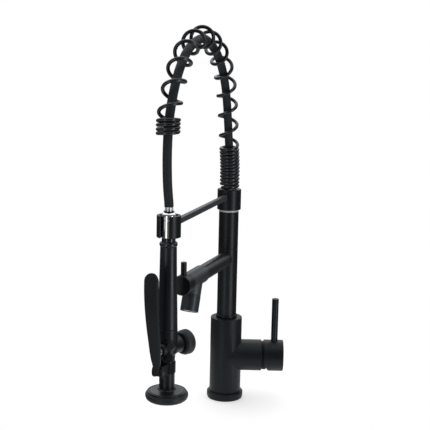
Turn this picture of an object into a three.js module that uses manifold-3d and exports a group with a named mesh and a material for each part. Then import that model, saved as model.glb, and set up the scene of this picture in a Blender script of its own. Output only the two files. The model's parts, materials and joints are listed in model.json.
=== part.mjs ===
// Spring-arch kitchen faucet with a pot-filler spout and a docked spray wand.
// Millimetres, +Z up. The origin is the centre of the base on the deck, +X runs along the side valve.
import * as THREE from 'three';
import { mergeVertices } from 'three/addons/utils/BufferGeometryUtils.js';
import Module from 'manifold-3d';

const wasm = await Module();
wasm.setup();

// ---- driving dimensions ----
const GAP = 0.3; // clearance between touching pieces
const ARM_TURN = 20; // degrees from -Y towards -X, direction of the holder arm and pot filler
const LEVER_TURN = 26; // same measure for the wand's squeeze lever
const REACH = 244; // column axis to wand axis
const BODY_R = 25;
const BODY_TOP = 134;
const FLANGE_R = 29;
const FLANGE_TOP = 11.5;
const SHANK_R = 16;
const VALVE_Z = 70.6; // height of the side valve's axis
const HOUSING_END = 57.5;
const PIVOT_X = 62; // centre of the mixer handle's tilt
const CAP_END = 92.5;
const PIN_X = 78;
const PIN_TOP = 165;
const RISER_R = 10.5; // inner water pipe
const COLUMN_R = 15.5;
const COLUMN_BORE = 12.9;
const SEAM_Z = 247.5; // joint between the turning lower column and the upper column
const COLLAR_R = 18.6;
const COLLAR_BASE = 309.2;
const COLLAR_TOP = 341.5;
const SPOUT_Z = 230.5; // pot filler axis
const SPOUT_TUBE_R = 11.75;
const SPOUT_BODY_R = 13.2;
const SPOUT_BODY_START = 118;
const SPOUT_BODY_END = 176.5;
const NOZZLE_AT = 146; // where the nozzle's axis crosses the spout's axis
const NOZZLE_TILT = 22;
const NOZZLE_LENGTH = 49;
const CLIP_BASE = 309.5;
const CLIP_TOP = 339.5;
const CLIP_R = 16.5;
const CLIP_BORE = 12.3;
const CLIP_SLOT = 13.5;
const WIRE_R = 2.6;
const CLOSE_PITCH = 5.65;
const END_PITCH = 5.4;
const OPEN_TURNS = 12.67;
const COIL_START = 320; // degrees, where the spring's first turn begins
const HOSE_R = 6.3;
const CONNECTOR_R = 10.9;
const WAND_TOP = 309; // top of the turning wand, under the chrome connector
const HANDLE_TOP = 297;
const HANDLE_BASE = 182.6;
const SPRAY_VALVE_Z = 155; // axis of the spray valve's plunger in the wand
const NECK_Z = 156; // axis of the wand's side neck and its cap
const NECK_TURN = 159; // degrees from the lever's direction to the side neck
const STEM_R = 10.8;
const STEM_BASE = 96.8;
const BELL_BASE = 80;
const LEVER_PIVOT = [25, 126]; // distance from the wand axis, height

const FINE = 24; // sides of a visible round
const COARSE = 16; // sides of a hidden round
const TINY = 12; // sides of a pin or screw

const radians = (degrees) => (degrees * Math.PI) / 180;

// ---- materials ----
const finish = (color, roughness, metalness) => new THREE.MeshStandardMaterial({ color, roughness, metalness });
const matteBlack = () => finish(0x2b2d30, 0.45, 0.3);
const chrome = () => finish(0xe6e8ea, 0.08, 1);
const steel = () => finish(0xa9adb0, 0.3, 1);
const brass = () => finish(0xb08d4c, 0.35, 1);
const rubber = () => finish(0x1b1b1c, 0.8, 0);
const nylon = () => finish(0xd6d8d8, 0.5, 0);
const ceramic = () => finish(0xece9e2, 0.35, 0);
const lightRing = () => finish(0xc9cccf, 0.3, 0.2);
const hoseBlack = () => finish(0x26292b, 0.6, 0);

// ---- shape helpers ----
function signedVolume(geometry) {
  const index = geometry.index;
  const position = geometry.attributes.position;
  const a = new THREE.Vector3();
  const b = new THREE.Vector3();
  const c = new THREE.Vector3();
  let volume = 0;
  for (let i = 0; i < index.count; i += 3) {
    a.fromBufferAttribute(position, index.getX(i));
    b.fromBufferAttribute(position, index.getX(i + 1));
    c.fromBufferAttribute(position, index.getX(i + 2));
    volume += a.dot(b.cross(c)) / 6;
  }
  return volume;
}

// Welds a geometry to positions only and turns its faces outward.
function welded(geometry) {
  geometry.deleteAttribute('normal');
  geometry.deleteAttribute('uv');
  const merged = mergeVertices(geometry, 1e-4);
  const kept = [];
  const index = merged.index.array;
  for (let i = 0; i < index.length; i += 3) {
    const [a, b, c] = [index[i], index[i + 1], index[i + 2]];
    if (a !== b && b !== c && c !== a) kept.push(a, b, c);
  }
  merged.setIndex(kept);
  if (signedVolume(merged) < 0) {
    for (let i = 0; i < kept.length; i += 3) [kept[i + 1], kept[i + 2]] = [kept[i + 2], kept[i + 1]];
    merged.setIndex(kept);
  }
  return merged;
}

// A body turned about Z from [radius, height] pairs; a profile off the axis closes on itself.
function turned(profile, sides = FINE) {
  const points = profile.map(([r, z]) => new THREE.Vector2(r, z));
  const onAxis = profile[0][0] === 0 && profile[profile.length - 1][0] === 0;
  if (!onAxis) points.push(points[0].clone());
  return welded(new THREE.LatheGeometry(points, sides).rotateX(Math.PI / 2));
}

function tube(outer, inner, z0, z1, sides = FINE) {
  return turned([[inner, z0], [outer, z0], [outer, z1], [inner, z1]], sides);
}

const rod = (r, z0, z1, sides = FINE) => turned([[0, z0], [r, z0], [r, z1], [0, z1]], sides);
const alongX = (geometry) => geometry.rotateY(Math.PI / 2); // Z axis becomes X
const alongY = (geometry) => geometry.rotateX(-Math.PI / 2); // Z axis becomes Y

function block(x0, x1, y0, y1, z0, z1) {
  const box = new THREE.BoxGeometry(x1 - x0, y1 - y0, z1 - z0);
  return welded(box.translate((x0 + x1) / 2, (y0 + y1) / 2, (z0 + z1) / 2));
}

// A plate whose outline is given as [x, z], from y = -half to y = half.
function slab(outline, half) {
  const shape = new THREE.Shape(outline.map(([x, z]) => new THREE.Vector2(x, z)));
  const plate = new THREE.ExtrudeGeometry(shape, { depth: 2 * half, bevelEnabled: false });
  return welded(plate.rotateX(Math.PI / 2).translate(0, half, 0));
}

function solid(geometry) {
  const mesh = { numProp: 3, vertProperties: new Float32Array(geometry.attributes.position.array) };
  mesh.triVerts = new Uint32Array(geometry.index.array);
  return new wasm.Manifold(new wasm.Mesh(mesh));
}

function geometryOf(manifold) {
  const mesh = manifold.getMesh();
  const geometry = new THREE.BufferGeometry();
  geometry.setAttribute('position', new THREE.BufferAttribute(new Float32Array(mesh.vertProperties), 3));
  geometry.setIndex(new THREE.BufferAttribute(new Uint32Array(mesh.triVerts), 1));
  return geometry;
}

function cut(base, ...tools) {
  let result = solid(base);
  for (const tool of tools) result = result.subtract(solid(tool));
  return geometryOf(result);
}

function joined(base, ...others) {
  let result = solid(base);
  for (const other of others) result = result.add(solid(other));
  return geometryOf(result);
}

const common = (a, b) => geometryOf(solid(a).intersect(solid(b)));

// ---- the scene graph ----
const faucet = new THREE.Group();
const armGroup = new THREE.Group(); // +X runs along the holder arm
armGroup.rotation.z = -Math.PI / 2 - radians(ARM_TURN);
const wandGroup = new THREE.Group(); // on the wand's axis, +X towards the squeeze lever
wandGroup.position.set(-REACH * Math.sin(radians(ARM_TURN)), -REACH * Math.cos(radians(ARM_TURN)), 0);
wandGroup.rotation.z = -Math.PI / 2 - radians(LEVER_TURN);
faucet.add(armGroup, wandGroup);

function add(parent, name, geometry, material) {
  const mesh = new THREE.Mesh(geometry, material);
  mesh.name = name;
  parent.add(mesh);
  return mesh;
}

// ---- under the deck and the base ----
function buildDeckHardware() {
  const washerR = 27;
  const shankFoot = -48;
  const bore = SHANK_R + 0.6;
  const nut = { r: 24, z0: -46, z1: -35.8 };
  const manifold = { r: 12.1, z0: -18, z1: -6, portR: 4.2, portX: 5.8 };
  const port = (x) => rod(manifold.portR, manifold.z0 - 1, manifold.z1 + 1, TINY).translate(x, 0, 0);
  const flange = [[18.2, 1.5], [28, 1.5], [FLANGE_R, 2.6], [FLANGE_R, 9.8], [27.6, FLANGE_TOP], [18.2, FLANGE_TOP]];
  add(faucet, 'deck_gasket', tube(28, 18.2, 0, 1.2, COARSE), rubber());
  add(faucet, 'base_flange', turned(flange), matteBlack());
  add(faucet, 'mounting_shank', tube(SHANK_R, 12.5, shankFoot, 24), brass());
  add(faucet, 'rubber_washer', tube(washerR, bore, -33, -30, COARSE), rubber());
  add(faucet, 'mounting_plate', tube(washerR, bore, -35.5, -33.3, COARSE), steel());
  add(faucet, 'mounting_nut', cut(rod(nut.r, nut.z0, nut.z1, 6), rod(bore, nut.z0 - 1, nut.z1 + 1)), brass());
  const plug = rod(manifold.r, manifold.z0, manifold.z1, COARSE);
  add(faucet, 'inlet_manifold', cut(plug, port(-manifold.portX), port(manifold.portX)), brass());
}

function buildBody() {
  const bottom = FLANGE_TOP + GAP;
  const housingR = 24.9;
  const cartridgeBore = 18.2;
  const socketFoot = 100.6;
  const column = rod(BODY_R, bottom, BODY_TOP);
  const housing = alongX(rod(housingR, 0, HOUSING_END)).translate(0, 0, VALVE_Z);
  const body = cut(
    joined(column, housing),
    rod(SHANK_R + 0.4, bottom - 1, 24.4),
    rod(13, 24, 101),
    rod(15.9, socketFoot - GAP, BODY_TOP + 1),
    alongX(rod(cartridgeBore, 14, HOUSING_END + 1, COARSE)).translate(0, 0, VALVE_Z),
  );
  add(faucet, 'faucet_body', body, matteBlack());
  add(faucet, 'riser_socket', tube(15.5, RISER_R + GAP, socketFoot, BODY_TOP - GAP, COARSE), brass());
  add(faucet, 'inner_riser', tube(RISER_R, 8.5, 60, COLLAR_TOP - 1.5, COARSE), brass());
}

// ---- side valve ----
function buildValve() {
  const stemHalf = 4;
  const pivotR = 1.5;
  const onAxis = (geometry) => alongX(geometry).translate(0, 0, VALVE_Z);
  const crossHole = alongY(rod(pivotR + GAP, -14, 14, TINY)).translate(PIVOT_X, 0, VALVE_Z);

  const cartridge = turned([[0, 20], [17.6, 20], [17.6, 50], [9.6, 50], [9.6, 30], [0, 30]], COARSE);
  add(faucet, 'cartridge', onAxis(cartridge), ceramic());
  add(faucet, 'cartridge_lock_nut', onAxis(tube(17.9, 12.9, 50.4, 57.3, COARSE)), brass());

  // The bonnet is a short zone of a sphere about the tilt centre, so the cap can turn around it.
  const bonnetR = 23;
  const bonnetEnd = 65;
  const bonnet = [[14, HOUSING_END + GAP]];
  for (let i = 0; i <= 4; i += 1) {
    const x = HOUSING_END + GAP + ((bonnetEnd - HOUSING_END - GAP) * i) / 4;
    bonnet.push([Math.sqrt(bonnetR ** 2 - (x - PIVOT_X) ** 2), x]);
  }
  bonnet.push([14, bonnetEnd]);
  add(faucet, 'bonnet_ring', onAxis(turned(bonnet)), matteBlack());

  const rotor = [[7.6, 30.4], [9.2, 30.4], [9.2, 50.3], [12.5, 50.3], [12.5, 68], [8.6, 68], [8.6, 52], [7.6, 52]];
  add(faucet, 'cartridge_rotor', cut(onAxis(turned(rotor, COARSE)), crossHole), brass());
  add(faucet, 'pivot_pin', alongY(rod(pivotR, -12, 12, TINY)).translate(PIVOT_X, 0, VALVE_Z), steel());

  const stem = block(53.5, 86, -stemHalf, stemHalf, VALVE_Z - stemHalf, VALVE_Z + stemHalf);
  add(faucet, 'cartridge_stem', cut(stem, crossHole), steel());
  buildHandleCap(onAxis, stemHalf + GAP);

  const pinLength = PIN_TOP - VALVE_Z;
  const lever = [[0, 14], [3, 14], [3, 22.3], [5.35, 22.3], [5.35, pinLength - 1], [4.5, pinLength], [0, pinLength]];
  const pin = turned(lever, COARSE).translate(PIN_X, 0, VALVE_Z);
  add(faucet, 'handle_lever', pin, matteBlack());
  add(faucet, 'handle_set_screw', rod(2.2, VALVE_Z - 23.5, VALVE_Z - 5, TINY).translate(80, 0, 0), steel());
}

function buildHandleCap(onAxis, socketHalf) {
  const start = PIVOT_X - 0.5;
  const hollowR = 23.4;
  const hollowEnd = 74.5;
  const cap = turned([[0, start], [BODY_R, start], [BODY_R, CAP_END - 1.3], [BODY_R - 1.3, CAP_END], [0, CAP_END]]);
  const hollow = [[0, start - 1], [hollowR, start - 1], [hollowR, PIVOT_X]];
  for (let i = 1; i <= 4; i += 1) {
    const x = PIVOT_X + ((hollowEnd - PIVOT_X) * i) / 4;
    hollow.push([Math.sqrt(hollowR ** 2 - (x - PIVOT_X) ** 2), x]);
  }
  hollow.push([0, hollowEnd]);
  // The lower inner edge is cut back on a slant so that the cap can tilt outward.
  const relief = slab([[60, -6], [61, -8], [71, -26.5], [60, -26.5]], 27).translate(0, 0, VALVE_Z);
  const socket = block(hollowEnd - 1, 87, -socketHalf, socketHalf, VALVE_Z - socketHalf, VALVE_Z + socketHalf);
  const pinHole = turned([[0, 13.5], [3.3, 13.5], [3.3, 22], [5.7, 22], [5.7, 27], [0, 27]], COARSE);
  const screwHole = rod(2.5, VALVE_Z - 27, VALVE_Z - 4, TINY).translate(80, 0, 0);
  const shell = cut(onAxis(cap), onAxis(turned(hollow)), relief, socket,
    pinHole.translate(PIN_X, 0, VALVE_Z), screwHole);
  add(faucet, 'handle_cap', shell, matteBlack());
}

// ---- column ----
function buildColumn() {
  const sleeveR = COLUMN_BORE - GAP;
  const sleeveBore = RISER_R + GAP;
  const washer = { z0: BODY_TOP + GAP, z1: 139 };
  add(faucet, 'swivel_washer', tube(16.7, sleeveBore, washer.z0, washer.z1), matteBlack());
  const spoutHole = alongX(rod(8.6, 0, 40, COARSE)).translate(0, 0, SPOUT_Z);
  const lower = tube(COLUMN_R, COLUMN_BORE, washer.z1 + GAP, SEAM_Z - GAP / 2);
  add(armGroup, 'lower_column', cut(lower, spoutHole), matteBlack());
  add(faucet, 'lower_bushing', tube(sleeveR, sleeveBore, 150, 168, COARSE), nylon());
  for (const [name, z] of [['spout_o_ring_lower', 208], ['spout_o_ring_upper', 242]]) {
    add(faucet, name, tube(sleeveR, sleeveBore, z, z + 3, COARSE), rubber());
  }
  const ringBase = 306;
  add(faucet, 'upper_column', tube(COLUMN_R, COLUMN_BORE, SEAM_Z + GAP / 2, ringBase - GAP), matteBlack());
  add(faucet, 'upper_bushing', tube(sleeveR, sleeveBore, 262, 290, COARSE), nylon());
  add(faucet, 'glide_ring', tube(15.2, sleeveBore, ringBase, COLLAR_BASE - GAP), lightRing());
}

// ---- pot filler ----
function buildPotFiller() {
  const spout = new THREE.Group(); // +Z runs out along the spout, +X points down
  spout.position.z = SPOUT_Z;
  spout.rotation.y = Math.PI / 2;
  armGroup.add(spout);
  const nozzleAxis = (geometry) => geometry.rotateY(Math.PI / 2 - radians(NOZZLE_TILT)).translate(0, 0, NOZZLE_AT);
  const bossEnd = 25;

  const columnCut = alongX(rod(COLUMN_R + GAP, -30, 30));
  add(spout, 'spout_tube', cut(tube(SPOUT_TUBE_R, 8.5, 8, SPOUT_BODY_START - GAP), columnCut), matteBlack());

  const spindleR = 6;
  const shell = turned([[0, SPOUT_BODY_START], [SPOUT_BODY_R, SPOUT_BODY_START],
    [SPOUT_BODY_R, SPOUT_BODY_END - 0.8], [SPOUT_BODY_R - 0.8, SPOUT_BODY_END], [0, SPOUT_BODY_END]]);
  const boss = nozzleAxis(rod(13.1, 0, bossEnd));
  const waterway = rod(9, SPOUT_BODY_START - 1, 160, COARSE);
  const outlet = nozzleAxis(rod(8.5, 0, bossEnd + 1, COARSE));
  const body = cut(joined(shell, boss), waterway, outlet, rod(spindleR, 159, SPOUT_BODY_END + 1, COARSE));
  add(spout, 'spout_valve_body', body, matteBlack());
  add(spout, 'spout_valve_disc', tube(8.6, 3, 124, 130, COARSE), ceramic());

  const nozzle = [[10.4, bossEnd + GAP], [13.3, bossEnd + GAP], [13.3, NOZZLE_LENGTH - 0.8],
    [12.7, NOZZLE_LENGTH], [10.4, NOZZLE_LENGTH]];
  add(spout, 'spout_nozzle', nozzleAxis(turned(nozzle)), matteBlack());
  const jets = [rod(1.3, 38, 50, 6)];
  for (let i = 0; i < 6; i += 1) {
    const angle = (i * Math.PI) / 3;
    jets.push(rod(1.3, 38, 50, 6).translate(5.5 * Math.cos(angle), 5.5 * Math.sin(angle), 0));
  }
  add(spout, 'aerator', nozzleAxis(cut(rod(10.1, 41, NOZZLE_LENGTH - 1, COARSE), ...jets)), nylon());

  const knob = { r: 14.4, z0: SPOUT_BODY_END + 0.5, z1: 197 };
  const pinAt = 187.5;
  const knobSolid = turned([[0, knob.z0], [knob.r - 0.6, knob.z0], [knob.r, knob.z0 + 0.6],
    [knob.r, knob.z1 - 1], [knob.r - 1, knob.z1], [0, knob.z1]]);
  const stemEnd = 184;
  const upright = (geometry) => geometry.rotateY(-Math.PI / 2).translate(0, 0, pinAt);
  const pinHole = upright(turned([[0, 7.5], [2.3, 7.5], [2.3, 11.8], [4.6, 11.8], [4.6, 17], [0, 17]], TINY));
  const stemHole = rod(spindleR, knob.z0 - 1, stemEnd + GAP, COARSE);
  add(spout, 'spout_knob', cut(knobSolid, stemHole, pinHole), matteBlack());
  add(spout, 'spout_valve_stem', rod(spindleR - GAP, 162, stemEnd, COARSE), brass());
  const pin = [[0, 8], [2, 8], [2, 12.2], [4.2, 12.2], [4.2, 31.8], [3.6, 32.5], [0, 32.5]];
  add(spout, 'spout_pin', upright(turned(pin, COARSE)), matteBlack());
}

// ---- docking arm ----
function buildDockingArm() {
  const collar = [[RISER_R + 0.4, COLLAR_BASE], [COLLAR_R - 1.6, COLLAR_BASE], [COLLAR_R, COLLAR_BASE + 1.6],
    [COLLAR_R, COLLAR_TOP - 0.6], [COLLAR_R - 0.6, COLLAR_TOP], [RISER_R + 0.4, COLLAR_TOP]];
  add(armGroup, 'holder_collar', turned(collar), matteBlack());

  const bar = { width: 7, height: 8, z0: 330.6, z1: 325 };
  const slope = Math.atan2(bar.z0 - bar.z1, REACH);
  const beam = block(0, REACH, -bar.width / 2, bar.width / 2, -bar.height / 2, bar.height / 2);
  beam.rotateY(slope).translate(0, 0, bar.z0);
  const collarCut = rod(COLLAR_R + GAP, 300, 350);
  const clipCut = rod(CLIP_R + GAP, 300, 350).translate(REACH, 0, 0);
  add(armGroup, 'holder_arm', cut(beam, collarCut, clipCut), matteBlack());

  const outerEdge = Math.asin(CLIP_SLOT / 2 / CLIP_R);
  const innerEdge = Math.asin(CLIP_SLOT / 2 / CLIP_BORE);
  const profile = new THREE.Shape();
  profile.absarc(0, 0, CLIP_R, outerEdge, 2 * Math.PI - outerEdge, false);
  profile.absarc(0, 0, CLIP_BORE, 2 * Math.PI - innerEdge, innerEdge, true);
  const depth = CLIP_TOP - CLIP_BASE;
  const clip = new THREE.ExtrudeGeometry(profile, { depth, bevelEnabled: false, curveSegments: 28 });
  add(armGroup, 'holder_clip', welded(clip).translate(REACH, 0, CLIP_BASE), matteBlack());

  const ferrule = { z0: COLLAR_TOP + 0.5, z1: 360 };
  add(armGroup, 'spring_sleeve', tube(9.2, 8, COLLAR_TOP + GAP, 370, COARSE), steel());
  add(armGroup, 'upper_ferrule', tube(7.6, 3.5, ferrule.z0, ferrule.z1, COARSE), steel());
}

// ---- support spring ----
// Points of the spring's centre line, [distance along the arm, height].
const SPRING_LINE = [[0, 344.6], [0, 372], [1.6, 388], [5, 405], [9, 428], [14, 455], [20.5, 484], [31, 512],
  [49, 538], [77, 560], [124, 576], [166, 569.5], [196, 554], [219, 532], [235, 507], [245.5, 482], [249.5, 468],
  [250.4, 448]];

const upright = ([x, z]) => new THREE.Vector3(x, 0, z);

class SpringCurve extends THREE.Curve {
  constructor() {
    super();
    this.centre = new THREE.CatmullRomCurve3(SPRING_LINE.map(upright), false, 'centripetal');
    this.centre.arcLengthDivisions = 600;
    this.length = this.centre.getLength();
    this.closeStart = 64; // close-wound length above the collar
    this.closeEnd = 22; // close-wound length on the wand's side
    this.startTurns = this.closeStart / CLOSE_PITCH;
    this.endTurns = this.closeEnd / END_PITCH;
    this.turns = this.startTurns + OPEN_TURNS + this.endTurns;
    this.arcLengthDivisions = 6000;
  }

  // Fraction of the centre line reached after a number of turns.
  along(turn) {
    const open = this.length - this.closeStart - this.closeEnd;
    if (turn < this.startTurns) return (turn * CLOSE_PITCH) / this.length;
    const past = turn - this.startTurns;
    if (past < OPEN_TURNS) return (this.closeStart + (open * past) / OPEN_TURNS) / this.length;
    return (this.closeStart + open + (past - OPEN_TURNS) * END_PITCH) / this.length;
  }

  getPoint(t, target = new THREE.Vector3()) {
    const turn = t * this.turns;
    const u = Math.min(this.along(turn), 1);
    const tangent = this.centre.getTangentAt(u);
    const across = new THREE.Vector3(0, 1, 0);
    const inward = new THREE.Vector3().crossVectors(across, tangent);
    const angle = 2 * Math.PI * turn + radians(COIL_START);
    const blend = Math.min(1, Math.max(0, (turn - this.startTurns) / 3));
    const r = 12.9 + 0.9 * blend;
    return target.copy(this.centre.getPointAt(u))
      .addScaledVector(inward, r * Math.cos(angle))
      .addScaledVector(across, r * Math.sin(angle));
  }
}

// A round section swept along a curve.
function swept(curve, r, sides, steps) {
  const section = new THREE.Shape();
  for (let i = 0; i < sides; i += 1) {
    const angle = (2 * Math.PI * i) / sides;
    const corner = [r * Math.cos(angle), r * Math.sin(angle)];
    if (i === 0) section.moveTo(...corner);
    else section.lineTo(...corner);
  }
  return welded(new THREE.ExtrudeGeometry(section, { steps, extrudePath: curve, bevelEnabled: false }));
}

function buildSpring() {
  const spring = new SpringCurve();
  const stepsPerTurn = 9;
  add(armGroup, 'support_spring', swept(spring, WIRE_R, 6, Math.round(spring.turns * stepsPerTurn)), matteBlack());
}

// ---- spray hose ----
// Points of the hose's centre line, [distance along the arm, height].
const HOSE_LINE = [[0, 360.3], [0, 372], [1.8, 388], [5.5, 405], [10, 428], [15.5, 455], [22.5, 483], [33.5, 510],
  [51.5, 535.5], [78.5, 557], [124, 572.5], [164.5, 566], [193.5, 551], [216, 529.5], [232, 505], [243, 480.5],
  [248.5, 462], [251, 445], [252.3, 425], [252, 403], [249.8, 380], [246.6, 364], [244.6, 355.5], [REACH + 0.2, 351]];

function buildHose() {
  const route = new THREE.CatmullRomCurve3(HOSE_LINE.map(upright), false, 'centripetal');
  add(armGroup, 'spray_hose', swept(route, HOSE_R, 8, 56), hoseBlack());
}

// ---- spray wand ----
function buildConnector() {
  const neckR = 6.6;
  const domeFoot = 334.5;
  const domeTop = 343.2;
  const connector = [[4, WAND_TOP + 0.4], [CONNECTOR_R, WAND_TOP + 0.4], [CONNECTOR_R, domeFoot]];
  for (let i = 1; i <= 3; i += 1) {
    const a = (i * Math.PI) / 6;
    connector.push([neckR + (CONNECTOR_R - neckR) * Math.cos(a), domeFoot + (domeTop - domeFoot) * Math.sin(a)]);
  }
  connector.push([4, domeTop]);
  add(wandGroup, 'hose_connector', turned(connector), chrome());
  add(wandGroup, 'hose_nut', tube(7.3, 3.6, domeTop + GAP, 345, COARSE), matteBlack());
  add(wandGroup, 'hose_ferrule', tube(5.9, 3.5, 345.3, 350.4, COARSE), chrome());
}

function buildWand() {
  const neck = [[5, HANDLE_TOP + GAP], [11.6, HANDLE_TOP + GAP], [12.3, 298.6], [12.3, 301.2], [11.2, 302.6],
    [9.4, 303.4], [9.4, WAND_TOP], [5, WAND_TOP]];
  add(wandGroup, 'wand_neck_ring', turned(neck), matteBlack());
  const handle = [[9, HANDLE_BASE], [13.7, HANDLE_BASE], [13.3, 205], [12.7, 228], [11.9, 260],
    [11.3, HANDLE_TOP - 0.6], [10.9, HANDLE_TOP], [9, HANDLE_TOP]];
  add(wandGroup, 'wand_handle', turned(handle), matteBlack());

  const bossEnd = 19;
  const neckEnd = 22.5;
  const across = (geometry) => alongX(geometry).translate(0, 0, SPRAY_VALVE_Z);
  const outward = (geometry, turn, z) => alongX(geometry).rotateZ(radians(turn)).translate(0, 0, z);
  const upper = turned([[0, 141.3], [11.2, 141.3], [11.2, 145.2], [13.2, 146.8], [13.9, 148.8],
    [13.9, HANDLE_BASE - GAP], [0, HANDLE_BASE - GAP]]);
  const neckTube = outward(rod(12, 0, neckEnd), NECK_TURN, NECK_Z);
  const plug = outward(turned([[0, 8], [8.3, 8], [8.3, 15.2], [6.4, 17], [0, 17]], COARSE), 44, 161);
  const pad = outward(turned([[0, 8], [8.2, 8], [8.2, 14.2], [7.6, 14.8], [0, 14.8]], COARSE), 27, 143.8);
  const valveBody = cut(
    joined(upper, neckTube, across(rod(8.5, 0, bossEnd, COARSE)), plug, pad),
    across(rod(7.1, -10.8, 8, COARSE)),
    across(rod(4.4, 7, bossEnd + 1, COARSE)),
    rod(6.5, 144, 184, COARSE),
    outward(rod(8, 15, neckEnd + 1, COARSE), NECK_TURN, NECK_Z),
    rod(STEM_R + GAP, 130, 141.2),
  );
  add(wandGroup, 'spray_valve_body', valveBody, matteBlack());
  const cap = [[0, 38.8], [15.8, 38.8], [17.6, 36.6], [17.6, 29.8], [16.9, 26], [14.8, neckEnd + GAP],
    [7.6, neckEnd + GAP], [7.6, 15.5], [0, 15.5]];
  add(wandGroup, 'valve_cap', outward(turned(cap), NECK_TURN, NECK_Z), rubber());
  buildPlunger(across);
  buildLever();
  buildSprayHead();
}

function buildPlunger(across) {
  const plunger = [[0, 6], [4, 6], [4, 25.5], [6, 25.5], [6, 29.6], [5, 30.4], [0, 30.4]];
  add(wandGroup, 'valve_plunger', across(turned(plunger, COARSE)), steel());
  add(wandGroup, 'plunger_seal', across(rod(6.8, 2.4, 5.7, COARSE)), rubber());
  const coils = 4;
  const coil = new THREE.Curve();
  coil.arcLengthDivisions = 400;
  coil.getPoint = (t, target = new THREE.Vector3()) => target.set(
    5.6 * Math.cos(2 * Math.PI * coils * t), 5.6 * Math.sin(2 * Math.PI * coils * t), -9.7 + 11 * t);
  add(wandGroup, 'valve_spring', across(swept(coil, 0.7, 5, coils * 9)), steel());
}

function buildLever() {
  const [pivotX, pivotZ] = LEVER_PIVOT;
  const earInner = 5.2;
  const earOuter = 7.8;
  const earOutline = [[8, 118.5], [22, 118.3], [27.5, 119.3], [31.5, 122.2], [33, 126.5], [31.8, 131], [28, 134],
    [22, 135.2], [8, 135.2]];
  const stemCut = rod(STEM_R + GAP, 110, 145);
  const ears = [-1, 1].map((side) => slab(earOutline, (earOuter - earInner) / 2)
    .translate(0, (side * (earOuter + earInner)) / 2, 0));
  const band = tube(12.2, STEM_R + GAP, 118.5, 135.2);
  const pivotHole = alongY(rod(2.3, -9, 9, TINY)).translate(pivotX, 0, pivotZ);
  const bracket = cut(joined(band, ...ears), stemCut, pivotHole);
  add(wandGroup, 'hinge_bracket', bracket, matteBlack());
  add(wandGroup, 'hinge_pin', alongY(rod(2, -8.6, 8.6, TINY)).translate(pivotX, 0, pivotZ), steel());

  const outer = [[30.2, 126], [31.2, 134], [33.6, 147], [38, 173], [42.3, 197], [45.6, 222], [47.2, 245], [46.8, 262],
    [45.6, 269]];
  const inner = [[42.4, 269], [43.4, 261], [43.8, 245], [42.2, 222], [38.9, 197], [34.6, 173], [30.2, 147.5],
    [28.6, 138], [26.5, 131], [25, 131]];
  const side = slab([...outer, ...inner, [25, 126]], 12);
  const halfWidth = [[4.9, 125], [4.9, 136], [6.4, 138], [7.7, 148], [9.2, 173], [10.2, 200], [10.8, 230],
    [10.8, 257]];
  const crown = [];
  for (let i = 1; i <= 7; i += 1) {
    const a = (i * Math.PI) / 16;
    crown.push([10.8 * Math.cos(a), 257 + 11.6 * Math.sin(a)]);
  }
  const right = [...halfWidth, ...crown];
  const left = right.map(([y, z]) => [-y, z]).reverse();
  const front = slab([...right, [0, 268.6], ...left], 60).rotateZ(Math.PI / 2);
  const knuckle = alongY(rod(5.2, -4.9, 4.9, COARSE)).translate(pivotX, 0, pivotZ);
  const paddle = cut(joined(common(side, front), knuckle), pivotHole);
  add(wandGroup, 'squeeze_lever', paddle, matteBlack());
}

function buildSprayHead() {
  const stemTop = 141;
  add(wandGroup, 'spray_stem', tube(STEM_R, 7, STEM_BASE, stemTop), matteBlack());
  const bell = [[7.3, 88], [23.8, 88], [23.8, 91.2], [27, 91.2], [27, 92.4], [26, 93.4], [24.4, 93.6], [12.6, 94.6],
    [11.4, 96.5], [7.3, 96.5]];
  add(wandGroup, 'spray_bell', turned(bell), matteBlack());
  const rim = [[24.2, 90.9], [28.4, 90.9], [29.8, 88.8], [29.9, 85.6], [28.6, 82.2], [26.2, BELL_BASE + 0.3],
    [24, BELL_BASE], [22.4, BELL_BASE + 0.6], [22.4, 83], [24.2, 83]];
  add(wandGroup, 'rubber_rim', turned(rim), rubber());
  const jets = [];
  for (let i = 0; i < 12; i += 1) {
    const angle = (i * Math.PI) / 6;
    jets.push(rod(1, 80, 90, 6).translate(15 * Math.cos(angle), 15 * Math.sin(angle), 0));
  }
  const face = turned([[0, 82], [21.6, 82], [21.6, 83.6], [23.8, 83.6], [23.8, 86.5], [0, 86.5]]);
  add(wandGroup, 'spray_face', cut(face, ...jets), rubber());
}

buildDeckHardware();
buildBody();
buildValve();
buildColumn();
buildPotFiller();
buildDockingArm();
buildSpring();
buildHose();
buildConnector();
buildWand();

export default faucet;
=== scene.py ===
"""Spring-arch kitchen faucet in matte black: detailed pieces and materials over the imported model.

Shapes are written in millimetres and turned into metres as each mesh is made. A piece's local +Z is
its turning axis, and its frame matrix (ARM, WAND, SPOUT, ...) puts it in the row frame.
"""

import bisect
import json
import math

import bmesh
import bpy
from mathutils import Matrix, Vector


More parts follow.
